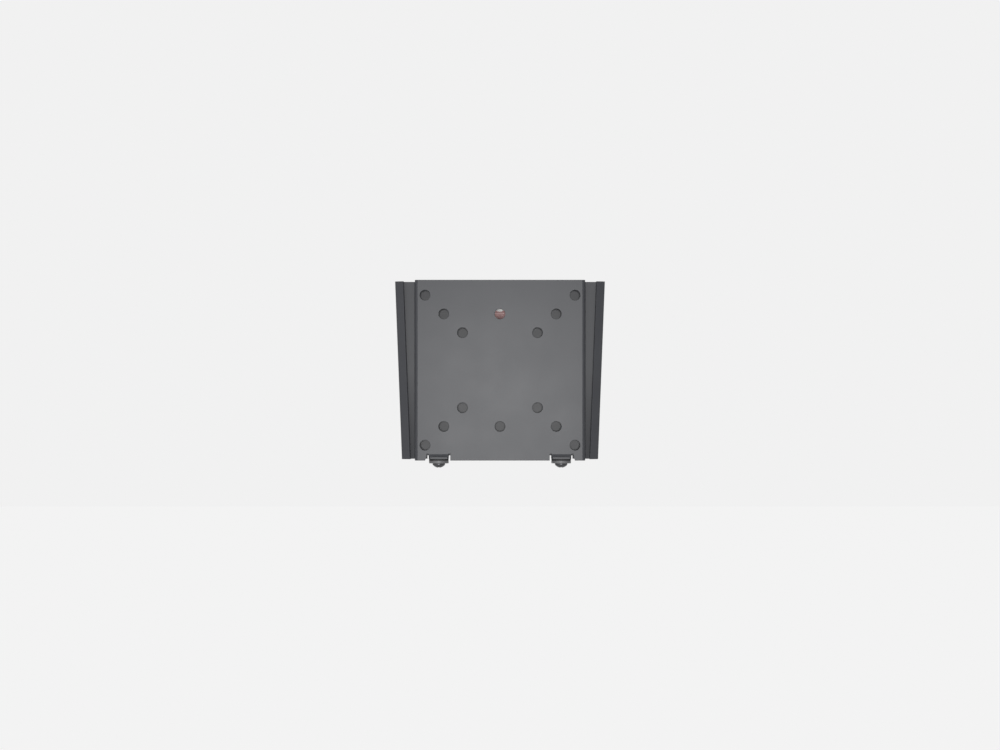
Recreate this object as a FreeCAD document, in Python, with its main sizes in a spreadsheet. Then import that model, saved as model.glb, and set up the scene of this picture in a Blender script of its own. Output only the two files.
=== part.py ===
import FreeCAD, Part
import math
import os
import re
import Sketcher

# Slim fixed wall mount for a small flat screen, in millimetres with +Z up.
# The wall is the plane y = 0, the screen is on the -Y side and x = 0 is the middle.

SIZES = {
    # Folded sheet
    "sheet_thickness": 1.5,
    "bend_inner_radius": 0.5,
    # Screen holes
    "hole_diameter": 7.0,
    "large_pattern": 100.0,
    "middle_pattern": 75.0,
    "small_pattern": 50.0,
    "centre_hole_spacing": 75.0,
    # Screen plate beyond its outermost hole centres, and its face in front of the lips
    "plate_side_margin": 6.85,
    "plate_end_margin": 10.25,
    "face_rise": 4.5,
    "wing_inset": 1.05,
    # Wall plate and its channels
    "channel_depth": 13.5,
    "plate_overhang": 0.85,
    "lip_gap": 3.4,
    "lip_width": 5.4,
    "lip_rise": 2.4,
    "side_spread": 4.57,
    # Play between the two plates
    "wing_play": 0.4,
    "side_play": 0.3,
    "skirt_play": 0.5,
    # Wall fixings
    "slot_length": 20.0,
    "slot_width": 6.0,
    "slot_spacing_across": 50.0,
    "slot_spacing_up": 100.0,
    "wall_hole_diameter": 6.0,
    "wall_hole_spacing": 40.0,
    # Locking tabs
    "tab_spacing": 82.0,
    "tab_width": 13.2,
    "tab_corner_radius": 1.0,
    "tab_rear_gap": 2.5,
    "tab_front_gap": 1.0,
    "slit_width": 1.25,
    "slit_rise": 0.2,
    "slit_straight": 0.9,
    "slit_flare": 1.1,
    "collar_wall": 1.2,
    "collar_height": 1.6,
    # Locking screws
    "screw_diameter": 4.0,
    "screw_length": 10.0,
    "screw_tip": 0.6,
    "head_diameter": 8.4,
    "head_height": 3.0,
    "head_edge": 0.9,
    "recess_span": 4.6,
    "recess_width": 1.1,
    "recess_depth": 1.8,
    # Washers and the room around the screws
    "washer_diameter": 13.2,
    "washer_thickness": 2.0,
    "washer_edge": 0.25,
    "cushion_diameter": 13.2,
    "cushion_thickness": 0.9,
    "thread_clearance": 0.05,
    "washer_clearance": 0.15,
    "tab_hole_clearance": 0.3,
    # Spirit level
    "level_height": 38.0,
    "vial_diameter": 8.0,
    "vial_wall": 0.8,
    "vial_length": 24.0,
    "plug_length": 3.0,
    "bubble_length": 4.6,
    "bubble_height": 1.8,
    # Holder of the level
    "holder_floor": 1.2,
    "holder_end": 4.0,
    "holder_height": 10.5,
    "vial_gap": 0.2,
    "cradle_length": 4.0,
    "cradle_inset": 2.0,
    "cradle_grip": 1.4,
}

DERIVED = {
    "bend_outer_radius": "bend_inner_radius + sheet_thickness",
    "mount_depth": "channel_depth + face_rise",
    "wing_front": "channel_depth - sheet_thickness - wing_play",
    "skirt_rear": "sheet_thickness + skirt_play",
    "plate_half_width": "large_pattern / 2 + plate_side_margin",
    "plate_half_height": "large_pattern / 2 + plate_end_margin",
    "wing_half_height": "plate_half_height - wing_inset",
    "wall_half_height": "plate_half_height - plate_overhang",
    "wall_half_bottom": "plate_half_width + lip_gap + lip_width",
    "wall_half_top": "wall_half_bottom + side_spread",
    "lip_length": "sqrt(lip_width * lip_width + lip_rise * lip_rise)",
    "lip_back": "channel_depth - sheet_thickness * (lip_length - lip_rise) / lip_width",
    "lip_edge_inset": "lip_width + sheet_thickness * lip_rise / lip_length",
    "lip_edge_back": "channel_depth + lip_rise - sheet_thickness * lip_width / lip_length",
    "wall_half_middle": "wall_half_bottom + side_spread / 2",
    "plate_end_spread": "side_spread / 2 * plate_half_height / wall_half_height",
    "skirt_half_top": "wall_half_middle + plate_end_spread - sheet_thickness - side_play",
    "skirt_half_bottom": "wall_half_middle - plate_end_spread - sheet_thickness - side_play",
    "tab_contact": "sheet_thickness - wall_half_height",
    "tab_top": "tab_contact + sheet_thickness",
    "tab_rear": "sheet_thickness + tab_rear_gap",
    "wall_tab_length": "mount_depth - sheet_thickness - tab_front_gap",
    "plate_slit_top": "tab_contact + bend_outer_radius + slit_rise",
    "wall_slit_top": "bend_outer_radius + slit_rise - wall_half_height",
    "screw_depth": "mount_depth / 2",
    "vial_axis_depth": "sheet_thickness + holder_floor + vial_gap + vial_diameter / 2",
    "bore_radius": "vial_diameter / 2 - vial_wall",
    "liquid_half_length": "vial_length / 2 - plug_length",
    "bubble_radius": "bubble_length * bubble_length / (8 * bubble_height) + bubble_height / 2",
    "holder_half_length": "vial_length / 2 + holder_end",
}

SIDES = {"left": -1, "right": 1}
CORNER_ORDER = ((-1, 1), (1, 1), (1, -1), (-1, -1))
TOLERANCE = 1e-4
CUT_MARGIN = 5.0

doc = FreeCAD.newDocument("tv_mount")
sheet = doc.addObject("Spreadsheet::Sheet", "Sizes")
for row, (alias, number) in enumerate(SIZES.items(), start=1):
    sheet.set(f"A{row}", alias)
    sheet.set(f"B{row}", str(number))
    sheet.setAlias(f"B{row}", alias)
doc.recompute()


# Expressions on the sheet

def size(text):
    """The text as an expression, with every named size in it read from the sheet."""
    def named(match):
        word = match.group(0)
        if word in DERIVED:
            return f"({size(DERIVED[word])})"
        return f"Sizes.{word}" if word in SIZES else word
    return re.sub(r"[a-z][a-z_]*", named, str(text))


def value(text):
    """The number that a size expression gives now."""
    return float(sheet.evalExpression(size(text)))


def flip(side, text):
    """The expression on the given side, which is -1 or 1."""
    return f"-({text})" if side < 0 else f"({text})"


# Sketches and features

def new_body(name):
    body = doc.addObject("PartDesign::Body", name)
    body.Label = name
    return body


def place(thing, x, y, z):
    for axis, text in zip("xyz", (x, y, z)):
        thing.setExpression(f"Placement.Base.{axis}", size(text))


def sketch_on(body, name, role, across="0", up="0", out="0"):
    """A sketch on an origin plane, shifted in the plane and along its normal."""
    sketch = body.newObject("Sketcher::SketchObject", name)
    plane = next(item for item in body.Origin.OriginFeatures if item.Role == role)
    sketch.AttachmentSupport = [(plane, "")]
    sketch.MapMode = "FlatFace"
    for axis, text in zip("xyz", (across, up, out)):
        sketch.setExpression(f"AttachmentOffset.Base.{axis}", size(text))
    return sketch


def bind(sketch, kind, places, text):
    """A dimension between the given places that follows a size expression."""
    index = sketch.addConstraint(Sketcher.Constraint(kind, *places, value(text)))
    sketch.setExpression(f"Constraints[{index}]", size(text))


def bind_point(sketch, curve, end, x, y):
    bind(sketch, "DistanceX", (-1, 1, curve, end), x)
    bind(sketch, "DistanceY", (-1, 1, curve, end), y)


def add_circle(sketch, x, y, diameter):
    middle = FreeCAD.Vector(value(x), value(y), 0)
    upward = FreeCAD.Vector(0, 0, 1)
    curve = sketch.addGeometry(Part.Circle(middle, upward, value(diameter) / 2))
    bind(sketch, "Diameter", (curve,), diameter)
    bind_point(sketch, curve, 3, x, y)


def add_segment(sketch, start, stop, arc):
    """A line, or an arc given as (middle x, middle y, turn), between two points."""
    if arc is None:
        return sketch.addGeometry(Part.LineSegment(start, stop)), 1, 2
    middle = FreeCAD.Vector(value(arc[0]), value(arc[1]), 0)
    turn = arc[2]
    first, last = (start, stop) if turn > 0 else (stop, start)
    angles = [math.atan2(point.y - middle.y, point.x - middle.x) for point in (first, last)]
    circle = Part.Circle(middle, FreeCAD.Vector(0, 0, 1), (start - middle).Length)
    curve = sketch.addGeometry(Part.ArcOfCircle(circle, *angles))
    chord = stop - start
    if abs(chord.y) > abs(chord.x):
        bind(sketch, "DistanceX", (-1, 1, curve, 3), arc[0])
    else:
        bind(sketch, "DistanceY", (-1, 1, curve, 3), arc[1])
    return (curve, 1, 2) if turn > 0 else (curve, 2, 1)


def add_outline(sketch, corners):
    """A closed outline. A corner is (x, y), with a third entry where an arc leaves it."""
    points = [FreeCAD.Vector(value(corner[0]), value(corner[1]), 0) for corner in corners]
    following = points[1:] + points[:1]
    segments = []
    for corner, start, stop in zip(corners, points, following):
        arc = corner[2] if len(corner) > 2 else None
        segments.append(add_segment(sketch, start, stop, arc))
    for corner, segment, before in zip(corners, segments, segments[-1:] + segments[:-1]):
        sketch.addConstraint(Sketcher.Constraint("Coincident", before[0], before[2], segment[0], segment[1]))
        bind_point(sketch, segment[0], segment[1], corner[0], corner[1])


def add_box(sketch, x_low, x_high, y_low, y_high):
    add_outline(sketch, [(x_low, y_low), (x_high, y_low), (x_high, y_high), (x_low, y_high)])


def pad(body, sketch, length, both_ways=False, reverse=False, direction=None):
    """A prism of the sketch, straight out of it or along a slanted direction."""
    feature = body.newObject("PartDesign::Pad", f"{sketch.Name}_pad")
    feature.Profile = sketch
    feature.setExpression("Length", size(length))
    feature.SideType = "Symmetric" if both_ways else "One side"
    feature.Reversed = reverse
    if direction:
        feature.UseCustomVector = True
        feature.AlongSketchNormal = True
        for axis, text in zip("xyz", direction):
            feature.setExpression(f"Direction.{axis}", size(text))
    doc.recompute()


def pocket(body, sketch, length=None, reverse=False):
    """A cut through everything both ways, or to a length, that must remove material."""
    before = body.Shape.Volume
    feature = body.newObject("PartDesign::Pocket", f"{sketch.Name}_cut")
    feature.Profile = sketch
    if length is None:
        feature.SideType = "Two sides"
        feature.Type = "ThroughAll"
        feature.Type2 = "ThroughAll"
    else:
        feature.setExpression("Length", size(length))
        feature.Reversed = reverse
    doc.recompute()
    if feature.Shape.Volume > before - TOLERANCE:
        raise RuntimeError(f"{feature.Name} removes nothing")


def revolve(body, sketch, axis):
    feature = body.newObject("PartDesign::Revolution", f"{sketch.Name}_turn")
    feature.Profile = sketch
    feature.ReferenceAxis = (sketch, [axis])
    doc.recompute()


def soften_edges(body, name, kind, test, amount):
    """Fillet or Chamfer of the edges of the body's latest feature that pass the test."""
    base = body.Tip
    edges = [f"Edge{number}" for number, edge in enumerate(base.Shape.Edges, start=1) if test(edge)]
    if not edges:
        raise RuntimeError(f"{name} finds no edge")
    feature = body.newObject(f"PartDesign::{kind}", name)
    feature.Base = (base, edges)
    feature.setExpression("Radius" if kind == "Fillet" else "Size", size(amount))
    doc.recompute()


def round_edges(body, name, test, radius):
    soften_edges(body, name, "Fillet", test, radius)


def same(one, other):
    return abs(one - other) < TOLERANCE


def along_height(top, corners):
    """Test for edges that run down from the given corners, left and right, at the top end."""
    spots = [(value(x), value(y)) for x, y in corners]
    height = value(top)

    def test(edge):
        ends = [vertex.Point for vertex in edge.Vertexes]
        upper = [point for point in ends if same(point.z, height)]
        if len(ends) != 2 or len(upper) != 1:
            return False
        return any(same(abs(upper[0].x), x) and same(upper[0].y, y) for x, y in spots)
    return test


def along_width(y, z, middle):
    """Test for the edge that runs across one tab at the given depth and height."""
    spot_y, spot_z, tab_middle = value(y), value(z), value(middle)
    reach = value("tab_width / 2") + TOLERANCE

    def test(edge):
        ends = [vertex.Point for vertex in edge.Vertexes]
        if len(ends) != 2 or any(abs(point.x - tab_middle) > reach for point in ends):
            return False
        return all(same(point.y, spot_y) and same(point.z, spot_z) for point in ends)
    return test


def tab_corners(depth, low, middle):
    """Test for the two upright corner edges at a tab's free end."""
    free_end = -value(depth)
    tab_middle = value(middle)
    half = value("tab_width / 2")
    foot = value(low)
    head = foot + value("sheet_thickness")

    def test(edge):
        ends = [vertex.Point for vertex in edge.Vertexes]
        if len(ends) != 2 or not all(same(point.y, free_end) for point in ends):
            return False
        heights = sorted(point.z for point in ends)
        upright = same(heights[0], foot) and same(heights[1], head)
        return upright and all(same(abs(point.x - tab_middle), half) for point in ends)
    return test


def add_strips(body, name, outlines, rear, front):
    """Flat stretches of sheet seen from the front, between two distances from the wall."""
    sketch = sketch_on(body, name, "XZ_Plane", out=rear)
    for corners in outlines:
        add_outline(sketch, corners)
    pad(body, sketch, f"{front} - ({rear})")


def side_strips(outer, inner, half_height):
    """Outlines of a left and a right strip, from (top, bottom) half widths of their edges."""
    return [[
        (flip(side, outer[0]), half_height),
        (flip(side, outer[1]), f"-{half_height}"),
        (flip(side, inner[1]), f"-{half_height}"),
        (flip(side, inner[0]), half_height),
    ] for side in SIDES.values()]


def inward(edge, width):
    """The (top, bottom) half widths of a line that lies inside another by a width."""
    return [f"{half} - {width}" for half in edge]


def pattern_spots(across, up):
    """The four corners of a hole pattern with the given spacings."""
    return [(flip(side, f"{across} / 2"), flip(end, f"{up} / 2")) for side, end in CORNER_ORDER]


# Wall plate

def wall_tab(body, name, side):
    """One tab folded forward from the base's bottom edge, freed by a slit on each side."""
    middle = flip(side, "tab_spacing / 2")
    notch = sketch_on(body, f"wall_notch_{name}", "XZ_Plane", across=middle)
    reach = "tab_width / 2 + slit_width"
    add_box(notch, f"-({reach})", reach, f"-wall_half_height - {CUT_MARGIN}", "wall_slit_top")
    pocket(body, notch, "sheet_thickness * 2", reverse=True)
    fold = sketch_on(body, f"wall_tab_{name}", "YZ_Plane", out=middle)
    add_outline(fold, [
        ("0", "wall_slit_top"),
        ("0", "-wall_half_height"),
        ("-wall_tab_length", "-wall_half_height"),
        ("-wall_tab_length", "tab_contact"),
        ("-sheet_thickness", "tab_contact"),
        ("-sheet_thickness", "wall_slit_top"),
    ])
    pad(body, fold, "tab_width", both_ways=True)
    inner_corner = along_width("-sheet_thickness", "tab_contact", middle)
    round_edges(body, f"wall_tab_inner_bend_{name}", inner_corner, "bend_inner_radius")
    outer_corner = along_width("0", "-wall_half_height", middle)
    round_edges(body, f"wall_tab_outer_bend_{name}", outer_corner, "bend_outer_radius")
    free_corners = tab_corners("wall_tab_length", "-wall_half_height", middle)
    round_edges(body, f"wall_tab_corners_{name}", free_corners, "tab_corner_radius")
    hole = sketch_on(body, f"wall_tab_hole_{name}", "XY_Plane")
    add_circle(hole, middle, "-screw_depth", "screw_diameter + 2 * tab_hole_clearance")
    pocket(body, hole)


def wall_slots(body):
    """Four level slots, each with half-round ends."""
    slots = sketch_on(body, "wall_slots", "XZ_Plane")
    reach = "(slot_length - slot_width) / 2"
    for x, z in pattern_spots("slot_spacing_across", "slot_spacing_up"):
        left, right = f"{x} - {reach}", f"{x} + {reach}"
        low, high = f"{z} - slot_width / 2", f"{z} + slot_width / 2"
        add_outline(slots, [
            (left, low),
            (right, low, (right, z, 1)),
            (right, high),
            (left, high, (left, z, 1)),
        ])
    pocket(body, slots)


def wall_channel(body, name, side):
    """One side of the plate and its leaning lip, run down along the plate's slanted edge."""
    section = sketch_on(body, f"wall_channel_{name}", "XY_Plane", out="wall_half_height")
    corners = [
        ("wall_half_top", "0"),
        ("wall_half_top", "-channel_depth"),
        ("wall_half_top - lip_width", "-channel_depth - lip_rise"),
        ("wall_half_top - lip_edge_inset", "-lip_edge_back"),
        ("wall_half_top - sheet_thickness", "-lip_back"),
        ("wall_half_top - sheet_thickness", "0"),
    ]
    add_outline(section, [(flip(side, x), y) for x, y in corners])
    downward = (flip(-side, "side_spread"), "0", "-2 * wall_half_height")
    pad(body, section, "2 * wall_half_height", direction=downward)


def make_wall_plate():
    body = new_body("wall_plate")
    widths = {1: "wall_half_top", -1: "wall_half_bottom"}
    base = [(flip(side, widths[end]), flip(end, "wall_half_height")) for side, end in CORNER_ORDER]
    add_strips(body, "wall_base", [base], "0", "sheet_thickness")
    for name, side in SIDES.items():
        wall_channel(body, name, side)
    inside = "wall_half_top - sheet_thickness"
    inner = [(inside, "-sheet_thickness"), (inside, "-lip_back")]
    outer = [("wall_half_top", "0"), ("wall_half_top", "-channel_depth")]
    round_edges(body, "wall_inner_bends", along_height("wall_half_height", inner), "bend_inner_radius")
    round_edges(body, "wall_outer_bends", along_height("wall_half_height", outer), "bend_outer_radius")
    wall_slots(body)
    holes = sketch_on(body, "wall_holes", "XZ_Plane")
    for side in SIDES.values():
        add_circle(holes, "0", flip(side, "wall_hole_spacing / 2"), "wall_hole_diameter")
    pocket(body, holes)
    for name, side in SIDES.items():
        wall_tab(body, name, side)
    return body


# Screen plate

def plate_tab(body, name, side):
    """One tab folded back from the face's bottom edge, with a raised collar for the screw."""
    middle = flip(side, "tab_spacing / 2")
    inner = "tab_spacing / 2 - tab_width / 2 - slit_width"
    outer = "tab_spacing / 2 + tab_width / 2 + slit_width"
    below = f"-plate_half_height - {CUT_MARGIN}"
    notch = sketch_on(body, f"plate_notch_{name}", "XZ_Plane", out="mount_depth")
    corners = [
        (inner, "plate_slit_top"),
        (outer, "plate_slit_top"),
        (outer, "plate_slit_top - slit_straight"),
        (f"{outer} + slit_flare", "-plate_half_height"),
        (f"{outer} + slit_flare", below),
        (inner, below),
    ]
    add_outline(notch, [(flip(side, x), z) for x, z in corners])
    pocket(body, notch, "sheet_thickness * 2")
    fold = sketch_on(body, f"plate_tab_{name}", "YZ_Plane", out=middle)
    add_outline(fold, [
        ("-mount_depth", "plate_slit_top"),
        ("-mount_depth", "tab_contact"),
        ("-tab_rear", "tab_contact"),
        ("-tab_rear", "tab_top"),
        ("sheet_thickness - mount_depth", "tab_top"),
        ("sheet_thickness - mount_depth", "plate_slit_top"),
    ])
    pad(body, fold, "tab_width", both_ways=True)
    inner_corner = along_width("sheet_thickness - mount_depth", "tab_top", middle)
    round_edges(body, f"plate_tab_inner_bend_{name}", inner_corner, "bend_inner_radius")
    outer_corner = along_width("-mount_depth", "tab_contact", middle)
    round_edges(body, f"plate_tab_outer_bend_{name}", outer_corner, "bend_outer_radius")
    free_corners = tab_corners("tab_rear", "tab_contact", middle)
    round_edges(body, f"plate_tab_corners_{name}", free_corners, "tab_corner_radius")
    collar = sketch_on(body, f"plate_collar_{name}", "XY_Plane", out="tab_top")
    threaded = "screw_diameter + 2 * thread_clearance"
    add_circle(collar, middle, "-screw_depth", f"{threaded} + 2 * collar_wall")
    pad(body, collar, "collar_height")
    hole = sketch_on(body, f"plate_tab_hole_{name}", "XY_Plane")
    add_circle(hole, middle, "-screw_depth", threaded)
    pocket(body, hole)


def make_tv_plate():
    body = new_body("tv_plate")
    face = [(flip(side, "plate_half_width"), flip(end, "plate_half_height")) for side, end in CORNER_ORDER]
    add_strips(body, "plate_face", [face], "mount_depth - sheet_thickness", "mount_depth")
    flank = ["plate_half_width", "plate_half_width"]
    skirt = ["skirt_half_top", "skirt_half_bottom"]
    wing_rear = "wing_front - sheet_thickness"
    walls = side_strips(flank, inward(flank, "sheet_thickness"), "plate_half_height")
    add_strips(body, "plate_walls", walls, wing_rear, "mount_depth")
    wings = side_strips(skirt, inward(flank, "sheet_thickness"), "plate_half_height")
    add_strips(body, "plate_wings", wings, wing_rear, "wing_front")
    skirts = side_strips(skirt, inward(skirt, "sheet_thickness"), "plate_half_height")
    add_strips(body, "plate_skirts", skirts, "skirt_rear", "wing_front")
    inside = "plate_half_width - sheet_thickness"
    inner = [
        (inside, "sheet_thickness - mount_depth"),
        ("plate_half_width", "-wing_front"),
        ("skirt_half_top - sheet_thickness", "sheet_thickness - wing_front"),
    ]
    outer = [
        ("plate_half_width", "-mount_depth"),
        (inside, "sheet_thickness - wing_front"),
        ("skirt_half_top", "-wing_front"),
    ]
    round_edges(body, "plate_inner_bends", along_height("plate_half_height", inner), "bend_inner_radius")
    round_edges(body, "plate_outer_bends", along_height("plate_half_height", outer), "bend_outer_radius")
    trim = sketch_on(body, "wing_ends", "XZ_Plane")
    for side, end in CORNER_ORDER:
        near, far = flip(side, "plate_half_width"), flip(side, f"skirt_half_top + {CUT_MARGIN}")
        low, high = flip(end, "wing_half_height"), flip(end, f"plate_half_height + {CUT_MARGIN}")
        add_box(trim, near, far, low, high)
    pocket(body, trim)
    holes = sketch_on(body, "screen_holes", "XZ_Plane")
    for spacing in ("large_pattern", "middle_pattern", "small_pattern"):
        for x, z in pattern_spots(spacing, spacing):
            add_circle(holes, x, z, "hole_diameter")
    for side in SIDES.values():
        add_circle(holes, "0", flip(side, "centre_hole_spacing / 2"), "hole_diameter")
    pocket(body, holes)
    for name, side in SIDES.items():
        plate_tab(body, name, side)
    return body


# Locking screws and their washers

def make_screw(name, side):
    """Round-headed screw pointing up, with its bearing face at its own z = 0."""
    body = new_body(f"lock_screw_{name}")
    profile = sketch_on(body, f"screw_profile_{name}", "XZ_Plane")
    dome_rise = "(head_height - head_edge)"
    dome_radius = f"((head_diameter * head_diameter / 4 + {dome_rise} * {dome_rise}) / (2 * {dome_rise}))"
    add_outline(profile, [
        ("0", "screw_length"),
        ("screw_diameter / 2 - screw_tip", "screw_length"),
        ("screw_diameter / 2", "screw_length - screw_tip"),
        ("screw_diameter / 2", "0"),
        ("head_diameter / 2", "0"),
        ("head_diameter / 2", "-head_edge", ("0", f"{dome_radius} - head_height", -1)),
        ("0", "-head_height"),
    ])
    revolve(body, profile, "V_Axis")
    recess = sketch_on(body, f"screw_recess_{name}", "XY_Plane", out="-head_height")
    span, width = "recess_span / 2", "recess_width / 2"
    quarter = [(span, width), (width, width), (width, span)]
    upper = quarter + [(f"-({x})", y) for x, y in reversed(quarter)]
    add_outline(recess, upper + [(f"-({x})", f"-({y})") for x, y in upper])
    pocket(body, recess, "recess_depth", reverse=True)
    bearing = "-wall_half_height - cushion_thickness - washer_thickness"
    place(body, flip(side, "tab_spacing / 2"), "-screw_depth", bearing)
    return body


def make_ring(name, side, outside, bore, height, foot):
    """Flat ring standing on its own z = 0."""
    body = new_body(name)
    section = sketch_on(body, f"{name}_section", "XY_Plane")
    add_circle(section, "0", "0", outside)
    add_circle(section, "0", "0", bore)
    pad(body, section, height)
    place(body, flip(side, "tab_spacing / 2"), "-screw_depth", foot)
    return body


def make_washers(name, side):
    """Bevelled metal washer and the soft cushion between it and the tab."""
    bore = "screw_diameter + 2 * washer_clearance"
    cushion_foot = "-wall_half_height - cushion_thickness"
    washer_foot = f"{cushion_foot} - washer_thickness"
    washer = make_ring(f"lock_washer_{name}", side, "washer_diameter", bore, "washer_thickness", washer_foot)
    radius = value("washer_diameter") / 2

    def outer_rim(edge_found):
        return hasattr(edge_found.Curve, "Radius") and same(edge_found.Curve.Radius, radius)
    soften_edges(washer, f"lock_washer_rims_{name}", "Chamfer", outer_rim, "washer_edge")
    cushion = make_ring(f"lock_cushion_{name}", side, "cushion_diameter", bore, "cushion_thickness", cushion_foot)
    return [washer, cushion]


# Spirit level

def level_sketch(body, name):
    """A sketch through the vial's axis, which is its own level axis."""
    return sketch_on(body, name, "XZ_Plane", up="level_height", out="vial_axis_depth")


def make_vial():
    """Clear tube, open at both ends."""
    body = new_body("level_vial")
    profile = level_sketch(body, "vial_profile")
    add_box(profile, "-vial_length / 2", "vial_length / 2", "bore_radius", "vial_diameter / 2")
    revolve(body, profile, "H_Axis")
    return body


def make_liquid():
    """Filling of the bore, with the room of the bubble taken out of its top."""
    body = new_body("level_liquid")
    profile = level_sketch(body, "liquid_profile")
    add_box(profile, "-liquid_half_length", "liquid_half_length", "0", "bore_radius")
    revolve(body, profile, "H_Axis")
    bubble = level_sketch(body, "bubble")
    add_circle(bubble, "0", "bore_radius - bubble_height + bubble_radius", "2 * bubble_radius")
    pocket(body, bubble)
    return body


def make_plug(name, side):
    """Stopper in one end of the vial, flush with its rim."""
    body = new_body(f"level_plug_{name}")
    profile = level_sketch(body, f"plug_profile_{name}")
    add_box(profile, flip(side, "liquid_half_length"), flip(side, "vial_length / 2"), "0", "bore_radius")
    revolve(body, profile, "H_Axis")
    return body


def make_holder():
    """Moulded strip stuck to the base, with two cradles that grip the vial."""
    body = new_body("level_holder")
    strip = sketch_on(body, "holder_strip", "XZ_Plane", up="level_height", out="sheet_thickness")
    add_box(strip, "-holder_half_length", "holder_half_length", "-holder_height / 2", "holder_height / 2")
    pad(body, strip, "holder_floor")
    cradles = sketch_on(body, "holder_cradles", "XZ_Plane", up="level_height", out="sheet_thickness")
    for side in SIDES.values():
        outer = flip(side, "vial_length / 2 - cradle_inset")
        inner = flip(side, "vial_length / 2 - cradle_inset - cradle_length")
        add_box(cradles, inner, outer, "-holder_height / 2", "holder_height / 2")
    pad(body, cradles, "vial_axis_depth - sheet_thickness + cradle_grip")
    seat = sketch_on(body, "holder_seat", "YZ_Plane")
    add_circle(seat, "-vial_axis_depth", "level_height", "vial_diameter")
    pocket(body, seat)
    return body


def write_parts(bodies):
    """Checks the whole document and writes one file for each sub-part."""
    doc.recompute()
    for item in doc.Objects:
        if {"Invalid", "Error"} & set(item.State):
            raise RuntimeError(f"{item.Name} is not valid: {item.State}")
    os.makedirs("parts", exist_ok=True)
    for body in bodies:
        if body.Shape.isNull() or not body.Shape.isValid() or len(body.Shape.Solids) != 1:
            raise RuntimeError(f"{body.Label} is not one valid solid")
        body.Shape.exportStep(os.path.join("parts", f"{body.Label}.step"))
        print(body.Label, round(body.Shape.Volume, 1), body.Shape.BoundBox)


finished = [make_wall_plate(), make_tv_plate()]
for side_name, side_sign in SIDES.items():
    finished.append(make_screw(side_name, side_sign))
    finished.extend(make_washers(side_name, side_sign))
    finished.append(make_plug(side_name, side_sign))
finished.extend([make_holder(), make_vial(), make_liquid()])
write_parts(finished)
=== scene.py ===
"""Dress of a slim fixed wall mount for a small screen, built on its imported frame.

Lengths are in metres. +Z is up, the wall is the plane y = 0 and the screen side is -Y.
"""

import logging
import math
from dataclasses import dataclass
from enum import Enum
from typing import Sequence

import bmesh
import bpy
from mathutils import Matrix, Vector


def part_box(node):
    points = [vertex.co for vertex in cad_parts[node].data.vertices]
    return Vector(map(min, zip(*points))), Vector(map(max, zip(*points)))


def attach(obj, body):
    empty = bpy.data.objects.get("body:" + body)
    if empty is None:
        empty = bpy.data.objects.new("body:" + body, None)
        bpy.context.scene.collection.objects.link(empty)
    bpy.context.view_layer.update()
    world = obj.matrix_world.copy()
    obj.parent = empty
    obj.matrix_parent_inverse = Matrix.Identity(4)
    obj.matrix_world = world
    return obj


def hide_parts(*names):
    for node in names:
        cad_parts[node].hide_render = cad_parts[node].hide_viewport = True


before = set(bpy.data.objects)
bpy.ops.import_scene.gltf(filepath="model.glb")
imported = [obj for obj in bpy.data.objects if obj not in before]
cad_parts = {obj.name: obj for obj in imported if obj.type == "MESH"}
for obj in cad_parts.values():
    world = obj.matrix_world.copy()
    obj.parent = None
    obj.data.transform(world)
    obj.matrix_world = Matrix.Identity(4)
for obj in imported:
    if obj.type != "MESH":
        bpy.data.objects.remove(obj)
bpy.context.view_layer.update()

LOG = logging.getLogger("tv_mount")
MM = 0.001
FULL_TURN = 2 * math.pi
QUARTER_TURN = math.pi / 2
X_AXIS = Vector((1.0, 0.0, 0.0))
Z_AXIS = Vector((0.0, 0.0, 1.0))
WHITE = (1.0, 1.0, 1.0, 1.0)

Colour = tuple[int, int, int]
ProfilePoint = tuple[float, float]
ProfileCorner = tuple[float, float, float]


class Side(Enum):
    """The two ends of the mount, as seen from the screen side."""

    LEFT = "left"
    RIGHT = "right"


class Slot(Enum):
    """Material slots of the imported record."""

    POWDER_COAT = "powder_coat"
    SCREW_STEEL = "screw_steel"
    WASHER_STEEL = "washer_steel"
    CUSHION_RUBBER = "cushion_rubber"
    HOLDER_PLASTIC = "holder_plastic"
    PLUG_PLASTIC = "plug_plastic"
    VIAL_CLEAR = "vial_clear"
    LEVEL_FLUID = "level_fluid"


# Shader helpers

def linear(colour: Colour) -> tuple[float, float, float, float]:
    """Turns a screen colour into the linear colour that a socket takes.

    Args:
        colour: Red, green and blue from 0 to 255.

    Returns:
        The linear colour with full alpha.
    """
    parts = [channel / 255 for channel in colour]
    red, green, blue = (
        part / 12.92 if part <= 0.04045 else ((part + 0.055) / 1.055) ** 2.4 for part in parts
    )
    return red, green, blue, 1.0


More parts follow.
